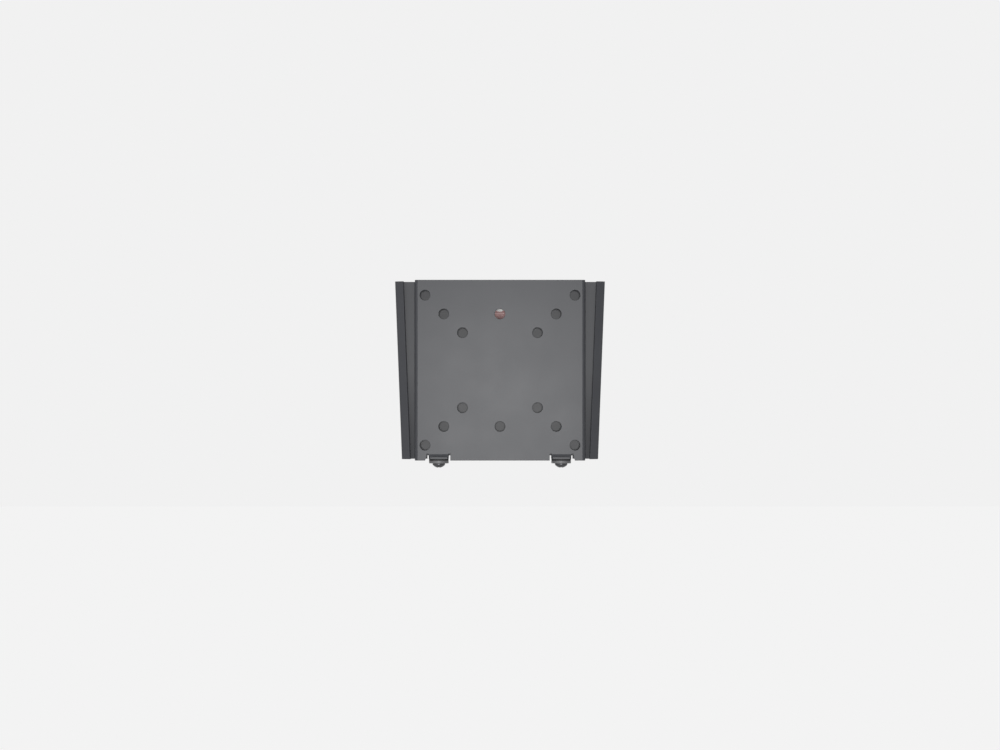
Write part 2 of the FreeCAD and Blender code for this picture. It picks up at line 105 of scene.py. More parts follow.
class NodeNet:
    """Adds nodes to one tree and links them."""

    def __init__(self, tree: bpy.types.NodeTree) -> None:
        """Keeps the tree that the nodes go into."""
        self.tree = tree

    def add(
        self, kind: str, inputs: dict[str | int, object] | None = None, **settings: object
    ) -> bpy.types.Node:
        """Adds a node, sets its properties and its inputs.

        Args:
            kind: Blender's name of the node type.
            inputs: Values, or output sockets to link, for each input by name or number.
            **settings: Properties of the node.

        Returns:
            The new node.
        """
        node = self.tree.nodes.new(kind)
        for key, setting in settings.items():
            setattr(node, key, setting)
        for key, given in (inputs or {}).items():
            if isinstance(given, bpy.types.NodeSocket):
                self.tree.links.new(given, node.inputs[key])
            else:
                node.inputs[key].default_value = given
        return node

    def between(self, value: bpy.types.NodeSocket, low: float, high: float) -> bpy.types.NodeSocket:
        """Maps a value of 0 to 1 onto a range.

        Args:
            value: Socket with the value.
            low: Result at 0.
            high: Result at 1.

        Returns:
            Socket with the result.
        """
        node = self.add("ShaderNodeMapRange", {"Value": value, "To Min": low, "To Max": high})
        return node.outputs["Result"]

    def blend(self, factor: bpy.types.NodeSocket, dark: Colour, light: Colour) -> bpy.types.NodeSocket:
        """Mixes two screen colours.

        Args:
            factor: Socket that goes from 0, dark, to 1, light.
            dark: First colour.
            light: Second colour.

        Returns:
            Socket with the mixed colour.
        """
        node = self.add("ShaderNodeMix", data_type="RGBA")
        colours = [socket for socket in node.inputs if socket.type == "RGBA"]
        colours[0].default_value = linear(dark)
        colours[1].default_value = linear(light)
        self.tree.links.new(factor, node.inputs["Factor"])
        return next(socket for socket in node.outputs if socket.type == "RGBA")


class SharedGroups:
    """Shader node groups that several finishes use, each built once."""

    GRAIN_SHARE = 0.4
    PATCH_SHARE = 0.6
    GRAIN_DETAIL = 2.0
    PATCH_DETAIL = 3.0
    RING_DETAIL = 3.0

    def __init__(self) -> None:
        """Builds the groups."""
        self.grain = self._grain()
        self.turning = self._turning()

    @staticmethod
    def _new(name: str, *numbers: str) -> tuple[NodeNet, bpy.types.Node]:
        """Starts a group that takes a vector and numbers, and puts out a tone and a height.

        Args:
            name: Name of the group.
            *numbers: Names of its number inputs.

        Returns:
            The group's net and its input node.
        """
        tree = bpy.data.node_groups.new(name, "ShaderNodeTree")
        tree.interface.new_socket("Vector", in_out="INPUT", socket_type="NodeSocketVector")
        for label in numbers:
            tree.interface.new_socket(label, in_out="INPUT", socket_type="NodeSocketFloat")
        for label in ("Tone", "Height"):
            tree.interface.new_socket(label, in_out="OUTPUT", socket_type="NodeSocketFloat")
        net = NodeNet(tree)
        return net, net.add("NodeGroupInput")

    def _grain(self) -> bpy.types.NodeTree:
        """Builds fine grain over soft patches.

        Returns:
            The group, which takes a vector, grains and patches to the metre.
        """
        net, given = self._new("surface_grain", "Grain", "Patch")
        vector = given.outputs["Vector"]
        fine = net.add(
            "ShaderNodeTexNoise",
            {"Vector": vector, "Scale": given.outputs["Grain"], "Detail": self.GRAIN_DETAIL},
        )
        soft = net.add(
            "ShaderNodeTexNoise",
            {"Vector": vector, "Scale": given.outputs["Patch"], "Detail": self.PATCH_DETAIL},
        )
        share = net.add(
            "ShaderNodeMath", {0: soft.outputs["Fac"], 1: self.PATCH_SHARE}, operation="MULTIPLY"
        )
        tone = net.add(
            "ShaderNodeMath",
            {0: fine.outputs["Fac"], 1: self.GRAIN_SHARE, 2: share.outputs[0]},
            operation="MULTIPLY_ADD",
        )
        net.add("NodeGroupOutput", {"Tone": tone.outputs[0], "Height": fine.outputs["Fac"]})
        return net.tree

    def _turning(self) -> bpy.types.NodeTree:
        """Builds the fine rings that a lathe or a die leaves round an upright axis.

        Returns:
            The group, which takes a vector from the axis and the rings to the metre.
        """
        net, given = self._new("turning_marks", "Rings")
        parts = net.add("ShaderNodeSeparateXYZ", {0: given.outputs["Vector"]})
        level = net.add("ShaderNodeCombineXYZ", {"X": parts.outputs["X"], "Y": parts.outputs["Y"]})
        radius = net.add("ShaderNodeVectorMath", {0: level.outputs[0]}, operation="LENGTH")
        section = net.add("ShaderNodeCombineXYZ", {"X": radius.outputs["Value"], "Y": parts.outputs["Z"]})
        rings = net.add(
            "ShaderNodeTexNoise",
            {"Vector": section.outputs[0], "Scale": given.outputs["Rings"], "Detail": self.RING_DETAIL},
            noise_dimensions="2D",
        )
        net.add("NodeGroupOutput", {"Tone": rings.outputs["Fac"], "Height": rings.outputs["Fac"]})
        return net.tree


GROUPS = SharedGroups()


# Finishes

def cleared_net(owner: bpy.types.Material | bpy.types.World) -> NodeNet:
    """Gives a material or a world an empty node tree.

    Args:
        owner: The material or world.

    Returns:
        The net of its tree.
    """
    owner.use_nodes = True
    owner.node_tree.nodes.clear()
    return NodeNet(owner.node_tree)


def open_material(name: str) -> tuple[bpy.types.Material, NodeNet, bpy.types.Node]:
    """Starts a material with a plain Principled shader.

    Args:
        name: Name of the material.

    Returns:
        The material, its net and its shader node.
    """
    material = bpy.data.materials.new(name)
    net = cleared_net(material)
    shader = net.add("ShaderNodeBsdfPrincipled")
    net.add("ShaderNodeOutputMaterial", {"Surface": shader.outputs["BSDF"]})
    return material, net, shader


@dataclass(frozen=True)
class SurfaceFinish:
    """Colour, gloss and relief that every finish has."""

    name: str
    dark: Colour
    light: Colour
    roughness: tuple[float, float]
    relief: float
    metallic: float = 0.0
    specular: float = 0.5

    def _dress(self, net: NodeNet, shader: bpy.types.Node, effect: bpy.types.Node) -> None:
        """Feeds the shader from an effect's tone and height.

        Args:
            net: Net of the material.
            shader: Principled shader.
            effect: Node of a shared group.
        """
        links = net.tree.links
        tone = effect.outputs["Tone"]
        links.new(net.blend(tone, self.dark, self.light), shader.inputs["Base Color"])
        links.new(net.between(tone, *self.roughness), shader.inputs["Roughness"])
        bump = net.add(
            "ShaderNodeBump",
            {"Height": effect.outputs["Height"], "Strength": 1.0, "Distance": self.relief},
        )
        links.new(bump.outputs["Normal"], shader.inputs["Normal"])
        shader.inputs["Metallic"].default_value = self.metallic
        shader.inputs["Specular IOR Level"].default_value = self.specular


@dataclass(frozen=True, kw_only=True)
class GrainFinish(SurfaceFinish):
    """A coated, moulded or printed surface with a fine grain."""

    grain: float
    patch: float

    def material(self) -> bpy.types.Material:
        """Builds the material.

        Returns:
            The material.
        """
        material, net, shader = open_material(self.name)
        place = net.add("ShaderNodeTexCoord").outputs["Object"]
        effect = net.add(
            "ShaderNodeGroup",
            {"Vector": place, "Grain": self.grain, "Patch": self.patch},
            node_tree=GROUPS.grain,
        )
        self._dress(net, shader, effect)
        return material


@dataclass(frozen=True, kw_only=True)
class TurnedFinish(SurfaceFinish):
    """A metal surface with fine rings round an upright axis."""

    rings: float

    def material(self, side: Side, axis: Vector) -> bpy.types.Material:
        """Builds the material for the pieces on one axis.

        Args:
            side: Which of the two axes it is.
            axis: A point on the axis.

        Returns:
            The material.
        """
        material, net, shader = open_material(f"{self.name}_{side.value}")
        place = net.add("ShaderNodeTexCoord").outputs["Object"]
        centred = net.add("ShaderNodeMapping", {"Vector": place, "Location": -axis})
        effect = net.add(
            "ShaderNodeGroup",
            {"Vector": centred.outputs["Vector"], "Rings": self.rings},
            node_tree=GROUPS.turning,
        )
        self._dress(net, shader, effect)
        return material


@dataclass(frozen=True, kw_only=True)
class ClearFinish(GrainFinish):
    """A clear body, seen through where it faces the eye and denser towards its rim."""

    face_alpha: float
    rim_alpha: float
    rim_blend: float = 0.35

    def _dress(self, net: NodeNet, shader: bpy.types.Node, effect: bpy.types.Node) -> None:
        """Feeds the shader and makes it clear.

        Args:
            net: Net of the material.
            shader: Principled shader.
            effect: Node of a shared group.
        """
        super()._dress(net, shader, effect)
        rim = net.add("ShaderNodeLayerWeight", {"Blend": self.rim_blend})
        alpha = net.between(rim.outputs["Facing"], self.face_alpha, self.rim_alpha)
        net.tree.links.new(alpha, shader.inputs["Alpha"])


@dataclass(frozen=True)
class RubbedFinish(GrainFinish):
    """A coat that is duller on the strips that slide in the channel, most of all low down."""

    strip_start: float = 57.0 * MM
    strip_fade: float = 0.5 * MM
    rub_top: float = 0.0
    rub_foot: float = -60.0 * MM
    top_wear: float = 0.038
    foot_wear: float = 0.15

    def _dress(self, net: NodeNet, shader: bpy.types.Node, effect: bpy.types.Node) -> None:
        """Feeds the shader and adds the roughness of the rubbed strips.

        Args:
            net: Net of the material.
            shader: Principled shader.
            effect: Node of a shared group.
        """
        super()._dress(net, shader, effect)
        gloss = shader.inputs["Roughness"]
        place = net.add("ShaderNodeSeparateXYZ", {0: net.add("ShaderNodeTexCoord").outputs["Object"]})
        across = net.add("ShaderNodeMath", {0: place.outputs["X"]}, operation="ABSOLUTE")
        strip = net.add(
            "ShaderNodeMapRange",
            {
                "Value": across.outputs[0],
                "From Min": self.strip_start,
                "From Max": self.strip_start + self.strip_fade,
            },
        )
        wear = net.add(
            "ShaderNodeMapRange",
            {
                "Value": place.outputs["Z"],
                "From Min": self.rub_foot,
                "From Max": self.rub_top,
                "To Min": self.foot_wear,
                "To Max": self.top_wear,
            },
        )
        rubbed = net.add(
            "ShaderNodeMath",
            {0: strip.outputs["Result"], 1: wear.outputs["Result"], 2: gloss.links[0].from_socket},
            operation="MULTIPLY_ADD",
        )
        net.tree.links.new(rubbed.outputs[0], gloss)


PLATE_COAT = dict(
    dark=(61, 62, 66), light=(75, 76, 79), roughness=(0.22, 0.294),
    relief=0.004 * MM, grain=2600.0, patch=45.0,
)
SCREEN_COAT = RubbedFinish("screen_plate_coat", specular=0.087, **PLATE_COAT)
WALL_COAT = GrainFinish("wall_plate_coat", specular=0.072, **PLATE_COAT)
BLACKENED_STEEL = TurnedFinish(
    "blackened_steel", dark=(62, 62, 64), light=(92, 92, 94), roughness=(0.30, 0.42),
    relief=0.004 * MM, metallic=1.0, rings=4000.0,
)
PHOSPHATED_STEEL = TurnedFinish(
    "phosphated_steel", dark=(90, 90, 92), light=(110, 110, 111), roughness=(0.36, 0.48),
    relief=0.004 * MM, rings=3000.0,
)
RUBBER = GrainFinish(
    "cushion_rubber", dark=(38, 38, 39), light=(52, 52, 53), roughness=(0.62, 0.78),
    relief=0.010 * MM, grain=3500.0, patch=250.0, specular=0.35,
)
WHITE_PLASTIC = GrainFinish(
    "white_plastic", dark=(232, 231, 228), light=(243, 242, 239), roughness=(0.24, 0.30),
    relief=0.0006 * MM, grain=1800.0, patch=120.0, specular=0.25,
)
STOPPER_PLASTIC = GrainFinish(
    "stopper_plastic", dark=(46, 46, 48), light=(60, 60, 62), roughness=(0.40, 0.52),
    relief=0.004 * MM, grain=2400.0, patch=180.0,
)
SCALE_INK = GrainFinish(
    "scale_ink", dark=(24, 24, 25), light=(36, 36, 37), roughness=(0.45, 0.60),
    relief=0.001 * MM, grain=3000.0, patch=300.0,
)
CLEAR_TUBE = ClearFinish(
    "clear_tube", dark=(232, 236, 236), light=(244, 247, 247), roughness=(0.03, 0.07),
    relief=0.001 * MM, grain=500.0, patch=90.0, face_alpha=0.03, rim_alpha=0.14,
)
LEVEL_FLUID = ClearFinish(
    "level_fluid", dark=(198, 152, 151), light=(210, 165, 163), roughness=(0.42, 0.50),
    relief=0.0005 * MM, grain=400.0, patch=80.0, specular=0.15, face_alpha=0.78, rim_alpha=0.92,
)
# Painted highlight: the bubble's hollow is coloured opaque white to stand in for the bright reflection of
# a clear air bubble.
BUBBLE_PAINTED_HIGHLIGHT = GrainFinish(
    "bubble_painted_highlight", dark=(240, 240, 240), light=(250, 250, 250), roughness=(0.20, 0.30),
    relief=0.0005 * MM, grain=500.0, patch=90.0, specular=1.0,
)


# Mesh helpers

TURN_STEPS = 96
ARC_STEPS = 4
BEVEL_STEPS = 2
BEVEL_FROM = math.radians(40)
CREASE = math.radians(35)
CUT_CREASE = math.radians(30)
FLAT_WITHIN = math.radians(0.4)
WELD_DISTANCE = 0.001 * MM


def new_piece(name: str, mesh: bpy.types.Mesh) -> bpy.types.Object:
    """Puts a mesh into the scene as an object at the origin.

    Args:
        name: Name of the object.
        mesh: Its mesh, in place.

    Returns:
        The object.
    """
    piece = bpy.data.objects.new(name, mesh)
    bpy.context.scene.collection.objects.link(piece)
    return piece


def shade(mesh: bpy.types.Mesh, crease: float) -> None:
    """Shades a mesh smooth, apart from edges past the crease angle."""
    mesh.shade_smooth()
    mesh.set_sharp_from_angle(angle=crease)


def finish_mesh(work: bmesh.types.BMesh, name: str) -> bpy.types.Mesh:
    """Turns a work mesh into a smooth-shaded one with sharp creases.

    Args:
        work: The work mesh, which is freed.
        name: Name of the new mesh.

    Returns:
        The new mesh.
    """
    mesh = bpy.data.meshes.new(name)
    work.to_mesh(mesh)
    work.free()
    shade(mesh, CREASE)
    return mesh


def merged_copy(node: str, name: str, whole_faces: bool = True) -> bpy.types.Mesh:
    """Copies a node's solid with its loose triangles joined.

    Args:
        node: Name of the CAD node.
        name: Name of the new mesh.
        whole_faces: Whether the triangles of a flat face become one face.

    Returns:
        The new mesh.
    """
    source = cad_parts[node].data
    plain = bpy.data.meshes.new(f"{name}_plain")
    faces = [face.vertices for face in source.polygons]
    plain.from_pydata([vertex.co for vertex in source.vertices], [], faces)
    work = bmesh.new()
    work.from_mesh(plain)
    bpy.data.meshes.remove(plain)
    bmesh.ops.remove_doubles(work, verts=work.verts, dist=WELD_DISTANCE)
    if whole_faces:
        bmesh.ops.dissolve_limit(work, angle_limit=FLAT_WITHIN, verts=work.verts, edges=work.edges)
    return finish_mesh(work, name)


def soften(piece: bpy.types.Object, radius: float) -> None:
    """Rounds the edges of a piece and keeps its large faces shaded flat.

    Args:
        piece: The object.
        radius: How far the rounding reaches.
    """
    bevel = piece.modifiers.new("rounded_edges", "BEVEL")
    bevel.width = radius
    bevel.segments = BEVEL_STEPS
    bevel.limit_method = "ANGLE"
    bevel.angle_limit = BEVEL_FROM
    bevel.use_clamp_overlap = False
    flatten = piece.modifiers.new("flat_faces", "WEIGHTED_NORMAL")
    flatten.keep_sharp = True


def rounded(corners: Sequence[ProfileCorner], closed: bool = False) -> list[ProfilePoint]:
    """Replaces the corners of a profile by short arcs.

    Args:
        corners: Radius, height and rounding of each corner.
        closed: Whether the last corner joins the first.

    Returns:
        The points of the rounded profile.
    """
    points: list[ProfilePoint] = []
    count = len(corners)
    for index, (radius, height, rounding) in enumerate(corners):
        inner = closed or 0 < index < count - 1
        if rounding <= 0 or not inner:
            points.append((radius, height))
            continue
        corner = Vector((radius, height))
        before = (Vector(corners[index - 1][:2]) - corner).normalized()
        after = (Vector(corners[(index + 1) % count][:2]) - corner).normalized()
        half = before.angle(after) / 2
        middle = corner + (before + after).normalized() * (rounding / math.sin(half))
        first = (corner + before * (rounding / math.tan(half)) - middle).normalized()
        last = (corner + after * (rounding / math.tan(half)) - middle).normalized()
        for step in range(ARC_STEPS + 1):
            points.append(tuple(middle + first.slerp(last, step / ARC_STEPS) * rounding))
    return points


@dataclass(frozen=True)
class TurningAxis:
    """Axis that a turned piece is made round."""

    origin: Vector
    along: Vector
    across: Vector

    @classmethod
    def upright(cls, origin: Vector) -> "TurningAxis":
        """Makes the upright axis through a point."""
        return cls(origin, Z_AXIS, X_AXIS)

    def spot(self, radius: float, height: float, angle: float) -> Vector:
        """Finds a point of a turned surface.

        Args:
            radius: Distance from the axis.
            height: Distance along the axis.
            angle: Turn from the across direction.

        Returns:
            The point in the frame.
        """
        aside = self.along.cross(self.across)
        spoke = self.across * math.cos(angle) + aside * math.sin(angle)
        return self.origin + self.along * height + spoke * radius


def turned_mesh(
    name: str, axis: TurningAxis, profile: Sequence[ProfilePoint], closed: bool = False
) -> bpy.types.Mesh:
    """Builds the mesh of one turned piece.

    Args:
        name: Name of the mesh.
        axis: Axis of the piece.
        profile: Radius and height of its points, from pole to pole or round a ring.
        closed: Whether the profile is a ring.

    Returns:
        The mesh.
    """
    work = bmesh.new()
    angles = [FULL_TURN * step / TURN_STEPS for step in range(TURN_STEPS)]
    rings = []
    for radius, height in profile:
        turns = angles if radius > 0 else [0.0]
        rings.append([work.verts.new(axis.spot(radius, height, angle)) for angle in turns])
    pairs = list(zip(rings, rings[1:]))
    if closed:
        pairs.append((rings[-1], rings[0]))
    for lower, upper in pairs:
        for step in range(TURN_STEPS):
            following = (step + 1) % TURN_STEPS
            ends = [lower[step % len(lower)], lower[following % len(lower)]]
            ends += [upper[following % len(upper)], upper[step % len(upper)]]
            work.faces.new(list(dict.fromkeys(ends)))
    bmesh.ops.recalc_face_normals(work, faces=work.faces)
    return finish_mesh(work, name)


def settled_mesh(piece: bpy.types.Object, name: str) -> bpy.types.Mesh:
    """Turns a piece with its modifiers into a plain mesh.

    Args:
        piece: Object whose modifiers are live.
        name: Name of the new mesh.

    Returns:
        The plain mesh.
    """
    evaluated = piece.evaluated_get(bpy.context.evaluated_depsgraph_get())
    mesh = bpy.data.meshes.new_from_object(evaluated)
    mesh.name = name
    return mesh


def cut_out(piece: bpy.types.Object, cutter: bpy.types.Object, name: str) -> None:
    """Takes a cutter out of a piece, which keeps the cutter's material on the cut faces.

    Args:
        piece: The object that is cut.
        cutter: The object that is taken out, which is removed.
        name: Name of the piece's new mesh.
    """
    cut = piece.modifiers.new("cut", "BOOLEAN")
    cut.object = cutter
    cut.solver = "EXACT"
    cut.use_self = True
    cut.material_mode = "TRANSFER"
    mesh = settled_mesh(piece, name)
    piece.modifiers.remove(cut)
    piece.data = mesh
    bpy.data.objects.remove(cutter)
    shade(mesh, CUT_CREASE)


def fit_out(piece: bpy.types.Object, body: str, slot: Slot, *nodes: str) -> None:
    """Ties a finished piece to the frame.

    Args:
        piece: The finished object.
        body: Body that it moves with.
        slot: Material slot that it stands for; not used.
        *nodes: CAD nodes that it stands for.
    """
    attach(piece, body)
    if nodes:
        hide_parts(*nodes)
    LOG.info("%s: %d faces, rides on %s", piece.name, len(piece.data.polygons), body)


# Geometry Nodes

class GrowthTree:
    """A Geometry Nodes tree that grows one repeated or winding form."""

    def __init__(self, name: str, inputs: Sequence[str]) -> None:
        """Starts a tree with named number inputs.

        Args:
            name: Name of the tree.
            inputs: Names of its number inputs.
        """
        self.tree = bpy.data.node_groups.new(name, "GeometryNodeTree")
        sockets = self.tree.interface
        sockets.new_socket("Geometry", in_out="INPUT", socket_type="NodeSocketGeometry")
        self.keys = {
            label: sockets.new_socket(label, in_out="INPUT", socket_type="NodeSocketFloat").identifier
            for label in inputs
        }
        paint = sockets.new_socket("Material", in_out="INPUT", socket_type="NodeSocketMaterial")
        self.keys["Material"] = paint.identifier
        sockets.new_socket("Geometry", in_out="OUTPUT", socket_type="NodeSocketGeometry")
        self.net = NodeNet(self.tree)
        self.given = self.net.add("NodeGroupInput")

    def number(self, operation: str, first: object, second: object) -> bpy.types.NodeSocket:
        """Works out one number in the tree.

        Args:
            operation: Blender's name of the operation.
            first: Value or socket.
            second: Value or socket.

        Returns:
            Socket with the result.
        """
        return self.net.add("ShaderNodeMath", {0: first, 1: second}, operation=operation).outputs[0]

    def close(self, geometry: bpy.types.NodeSocket) -> None:
        """Ends the tree in real, painted geometry.

        Args:
            geometry: Socket with what was grown.
        """
        real = self.net.add("GeometryNodeRealizeInstances", {0: geometry})
        smooth = self.net.add("GeometryNodeSetShadeSmooth", {0: real.outputs[0]})
        painted = self.net.add(
            "GeometryNodeSetMaterial",
            {"Geometry": smooth.outputs[0], "Material": self.given.outputs["Material"]},
        )
        self.net.add("NodeGroupOutput", {0: painted.outputs[0]})

    def grow(self, name: str, sizes: dict[str, float], material: bpy.types.Material) -> bpy.types.Object:
        """Grows one piece with the given sizes.

        Args:
            name: Name of the piece.
            sizes: A number for each named input.
            material: Its material.

        Returns:
            The piece, with a plain mesh.
        """
        seed = new_piece(name, bpy.data.meshes.new(f"{name}_seed"))
        modifier = seed.modifiers.new("growth", "NODES")
        modifier.node_group = self.tree
        for label, number in sizes.items():
            modifier[self.keys[label]] = number
        modifier[self.keys["Material"]] = material
        mesh = settled_mesh(seed, name)
        seed.modifiers.remove(modifier)
        empty = seed.data
        seed.data = mesh
        bpy.data.meshes.remove(empty)
        return seed


class ThreadTree(GrowthTree):
    """Right-handed screw thread wound up an upright axis."""

    STEPS_PER_TURN = 40
    RUN_OUT = 0.06
    CREST_SHARE = 0.84

    def __init__(self) -> None:
        """Builds the tree."""
        sizes = ["Pitch", "Length", "Root Radius", "Depth", "Axis X", "Axis Y", "Foot"]
        super().__init__("screw_thread", sizes)
        net, size = self.net, self.given.outputs
        turns = self.number("DIVIDE", size["Length"], size["Pitch"])
        path = net.add(
            "GeometryNodeCurveSpiral",
            {
                "Resolution": self.STEPS_PER_TURN,
                "Rotations": turns,
                "Start Radius": size["Root Radius"],
                "End Radius": size["Root Radius"],
                "Height": size["Length"],
            },
        )
        upright = net.add("GeometryNodeSetCurveNormal", {"Curve": path.outputs[0]}, mode="Z_UP")
        share = net.add("GeometryNodeSplineParameter").outputs["Factor"]
        start = net.add("ShaderNodeMapRange", {"Value": share, "From Max": self.RUN_OUT})
        stop = net.add(
            "ShaderNodeMapRange", {"Value": share, "From Min": 1.0, "From Max": 1.0 - self.RUN_OUT}
        )
        fade = self.number("MINIMUM", start.outputs["Result"], stop.outputs["Result"])
        faded = net.add("GeometryNodeSetCurveRadius", {"Curve": upright.outputs[0], "Radius": fade})
        crest = net.add(
            "GeometryNodeCurvePrimitiveQuadrilateral",
            {
                "Width": self.number("MULTIPLY", size["Pitch"], self.CREST_SHARE),
                "Bottom Height": size["Depth"],
                "Top Height": size["Depth"],
            },
            mode="KITE",
        )
        ridge = net.add(
            "GeometryNodeCurveToMesh",
            {
                "Curve": faded.outputs[0],
                "Profile Curve": crest.outputs[0],
                "Fill Caps": True,
                "Scale": fade,
            },
        )
        place = net.add(
            "ShaderNodeCombineXYZ", {"X": size["Axis X"], "Y": size["Axis Y"], "Z": size["Foot"]}
        )
        moved = net.add(
            "GeometryNodeTransform", {"Geometry": ridge.outputs[0], "Translation": place.outputs[0]}
        )
        self.close(moved.outputs[0])


class ScaleRingTree(GrowthTree):
    """Printed rings round a level tube, at an even distance either side of its middle."""

    RING_STEPS = 72
    RINGS = 2
    FIRST_RING = -(RINGS - 1) / 2

    def __init__(self) -> None:
        """Builds the tree."""
        super().__init__("scale_rings", ["Spacing", "Radius", "Width", "Film", "Axis Y", "Axis Z"])
        net, size = self.net, self.given.outputs
        start = self.number("MULTIPLY", size["Spacing"], self.FIRST_RING)
        first = net.add("ShaderNodeCombineXYZ", {"X": start, "Y": size["Axis Y"], "Z": size["Axis Z"]})
        stride = net.add("ShaderNodeCombineXYZ", {"X": size["Spacing"]})
        spots = net.add(
            "GeometryNodeMeshLine",
            {"Count": self.RINGS, "Start Location": first.outputs[0], "Offset": stride.outputs[0]},
        )
        round_path = net.add(
            "GeometryNodeCurvePrimitiveCircle", {"Resolution": self.RING_STEPS, "Radius": size["Radius"]}
        )
        film = net.add(
            "GeometryNodeCurvePrimitiveQuadrilateral", {"Width": size["Film"], "Height": size["Width"]}
        )
        ring = net.add(
            "GeometryNodeCurveToMesh", {"Curve": round_path.outputs[0], "Profile Curve": film.outputs[0]}
        )
        across = net.add(
            "GeometryNodeTransform", {"Geometry": ring.outputs[0], "Rotation": (0.0, QUARTER_TURN, 0.0)}
        )
        placed = net.add(
            "GeometryNodeInstanceOnPoints", {"Points": spots.outputs[0], "Instance": across.outputs[0]}
        )
        self.close(placed.outputs[0])


# Sub-assemblies

@dataclass
class FoldedPlate:
    """Folded and coated sheet, with the cut edges rounded by the coating."""

    node: str
    coat: GrainFinish
    edge: float = 0.12 * MM

    def build(self) -> bpy.types.Object:
        """Builds the plate from its solid.

        Returns:
            The plate.
        """
        name = f"{self.node}_sheet"
        piece = new_piece(name, merged_copy(self.node, name))
        soften(piece, self.edge)
        return piece

    def dress(self, piece: bpy.types.Object) -> None:
        """Coats the plate and ties it to its body, which has the node's name.

        Args:
            piece: The plate.
        """
        piece.data.materials.append(self.coat.material())
        fit_out(piece, self.node, Slot.POWDER_COAT, self.node)


@dataclass
class LockingScrew:
    """Domed screw with a cross recess and a wound thread, pointing up."""

    side: Side
    head_edge: float = 0.9 * MM
    head_height: float = 2.98 * MM
    rim: float = 0.25 * MM
    neck: float = 0.3 * MM
    pitch: float = 0.7 * MM
    thread_radius: float = 2.0 * MM
    thread_depth: float = 0.36 * MM
    tip: float = 0.6 * MM
    recess_span: float = 4.7 * MM
    recess_width: float = 1.15 * MM
    recess_depth: float = 1.7 * MM
    recess_taper: float = 0.55
    dome_steps: int = 14

    def __post_init__(self) -> None:
        """Reads the screw's place and main sizes from the frame."""
        self.node = f"lock_screw_{self.side.value}"
        low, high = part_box(self.node)
        under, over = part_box(f"lock_washer_{self.side.value}")
        middle = (low + high) / 2
        self.bearing = under.z
        self.head_radius = (high.x - low.x) / 2
        self.root_radius = self.thread_radius - self.thread_depth
        self.thread_start = 2 * self.neck
        self.length = high.z - self.bearing
        self.axis = TurningAxis.upright(Vector((middle.x, (under.y + over.y) / 2, self.bearing)))

    def _profile(self) -> list[ProfilePoint]:
        """Works out the turned outline from the head's pole to the tip.

        Returns:
            Radius and height of its points.
        """
        rise = self.head_height - self.head_edge
        dome = (self.head_radius**2 + rise**2) / (2 * rise)
        spread = math.asin(self.head_radius / dome)
        points: list[ProfilePoint] = []
        for step in range(self.dome_steps):
            angle = spread * step / self.dome_steps
            points.append((dome * math.sin(angle), dome - self.head_height - dome * math.cos(angle)))
        points += rounded([
            (*points[-1], 0.0),
            (self.head_radius, -self.head_edge, self.rim),
            (self.head_radius, 0.0, self.rim),
            (self.thread_radius, 0.0, 0.0),
        ])[1:]
        points += [
            (self.thread_radius, self.neck),
            (self.root_radius, self.thread_start),
            (self.root_radius, self.length - self.tip),
            (self.root_radius - self.tip / 2, self.length),
            (0.0, self.length),
        ]
        return points

    def _recess(self) -> bpy.types.Mesh:
        """Builds the tapered cross that is taken out of the head.

        Returns:
            Its mesh, open side down.
        """
        work = bmesh.new()
        mouth = self.bearing - self.head_height
        for span, width in ((self.recess_span, self.recess_width), (self.recess_width, self.recess_span)):
            block = bmesh.ops.create_cube(work, size=1.0)["verts"]
            for corner in block:
                deep = corner.co.z > 0
                share = self.recess_taper if deep else 1.0
                corner.co.x = self.axis.origin.x + corner.co.x * span * share
                corner.co.y = self.axis.origin.y + corner.co.y * width * share
                corner.co.z = mouth + (self.recess_depth if deep else -self.head_edge)
        return finish_mesh(work, f"recess_{self.side.value}")

    def build(self) -> bpy.types.Object:
        """Builds the screw's body.

        Returns:
            The body, with its recess cut.
        """
        name = f"{self.node}_body"
        body = new_piece(name, turned_mesh(f"{name}_blank", self.axis, self._profile()))
        cut_out(body, new_piece(f"{name}_cutter", self._recess()), name)
        return body

    def dress(self, piece: bpy.types.Object, thread: ThreadTree) -> None:
        """Finishes the screw, winds its thread and ties both to the frame.

        Args:
            piece: The screw's body.
            thread: Tree that winds the thread.
        """
        steel = BLACKENED_STEEL.material(self.side, self.axis.origin)
        piece.data.materials.clear()
        piece.data.materials.append(steel)
        fit_out(piece, self.node, Slot.SCREW_STEEL, self.node)
        ridge = thread.grow(
            f"{self.node}_thread",
            {
                "Pitch": self.pitch,
                "Length": self.length - self.tip - self.thread_start,
                "Root Radius": self.root_radius,
                "Depth": self.thread_depth,
                "Axis X": self.axis.origin.x,
                "Axis Y": self.axis.origin.y,
                "Foot": self.bearing + self.thread_start,
            },
            steel,
        )
        fit_out(ridge, self.node, Slot.SCREW_STEEL)


